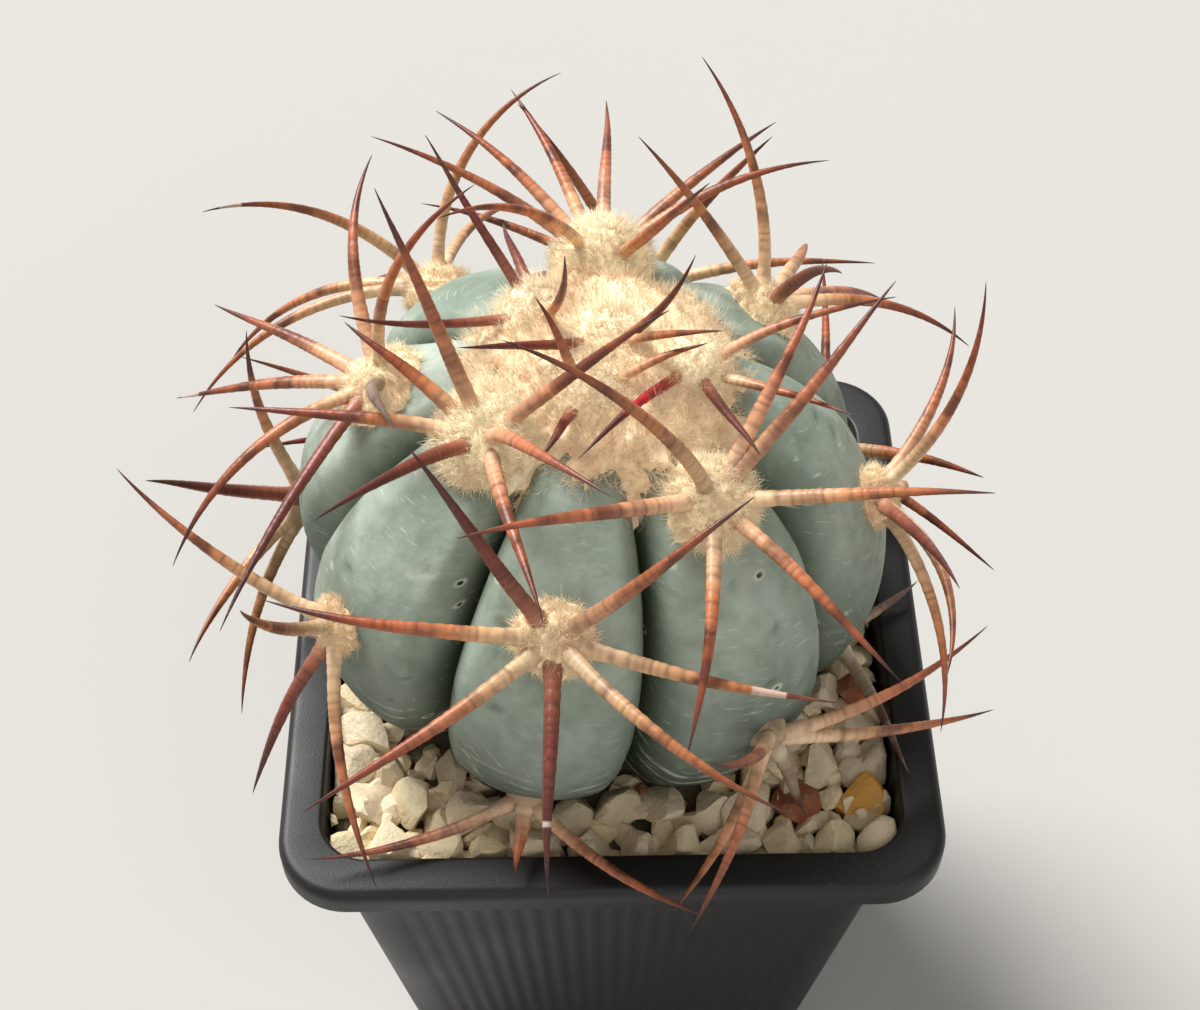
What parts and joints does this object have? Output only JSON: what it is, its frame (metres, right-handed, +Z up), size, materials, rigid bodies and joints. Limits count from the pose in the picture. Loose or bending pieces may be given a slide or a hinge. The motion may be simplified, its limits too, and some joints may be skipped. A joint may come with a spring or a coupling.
{
  "type": "potted eagle claw cactus",
  "caption": "Squat blue-green ribbed cactus with woolly areoles and curved ringed spines, in a square black plastic pot under pale gravel.",
  "frame": {"origin": "middle of the pot's flat underside", "axes": "+Z up along the pot, -Y towards the side of the plant that the picture was taken from, +X to the right as seen from there"},
  "size_m": [0.1192, 0.1285, 0.1646],
  "materials": {
    "pot": "satin black plastic",
    "soil": "loose gritty soil",
    "gravel": "matte cream gravel",
    "stem": "matte waxy plant skin",
    "wool": "felted cream wool",
    "spines": "hard ringed horn, satin"
  },
  "bodies": {
    "root": {"pot": "pot", "soil": "soil", "gravel": "gravel", "stem": "stem", "crown_wool": "wool", "wool_08": "wool", "wool_09": "wool", "wool_10": "wool", "wool_11": "wool", "wool_12": "wool", "wool_13": "wool", "spines_01": "spines", "spines_02": "spines", "spines_03": "spines", "spines_04": "spines", "spines_05": "spines", "spines_06": "spines", "spines_07": "spines", "spines_08": "spines", "spines_09": "spines", "spines_10": "spines", "spines_11": "spines", "spines_12": "spines", "spines_13": "spines", "spines_14": "spines", "spines_15": "spines", "spines_16": "spines", "spines_17": "spines", "spines_18": "spines", "spines_19": "spines", "spines_20": "spines"}
  },
  "joints": []
}
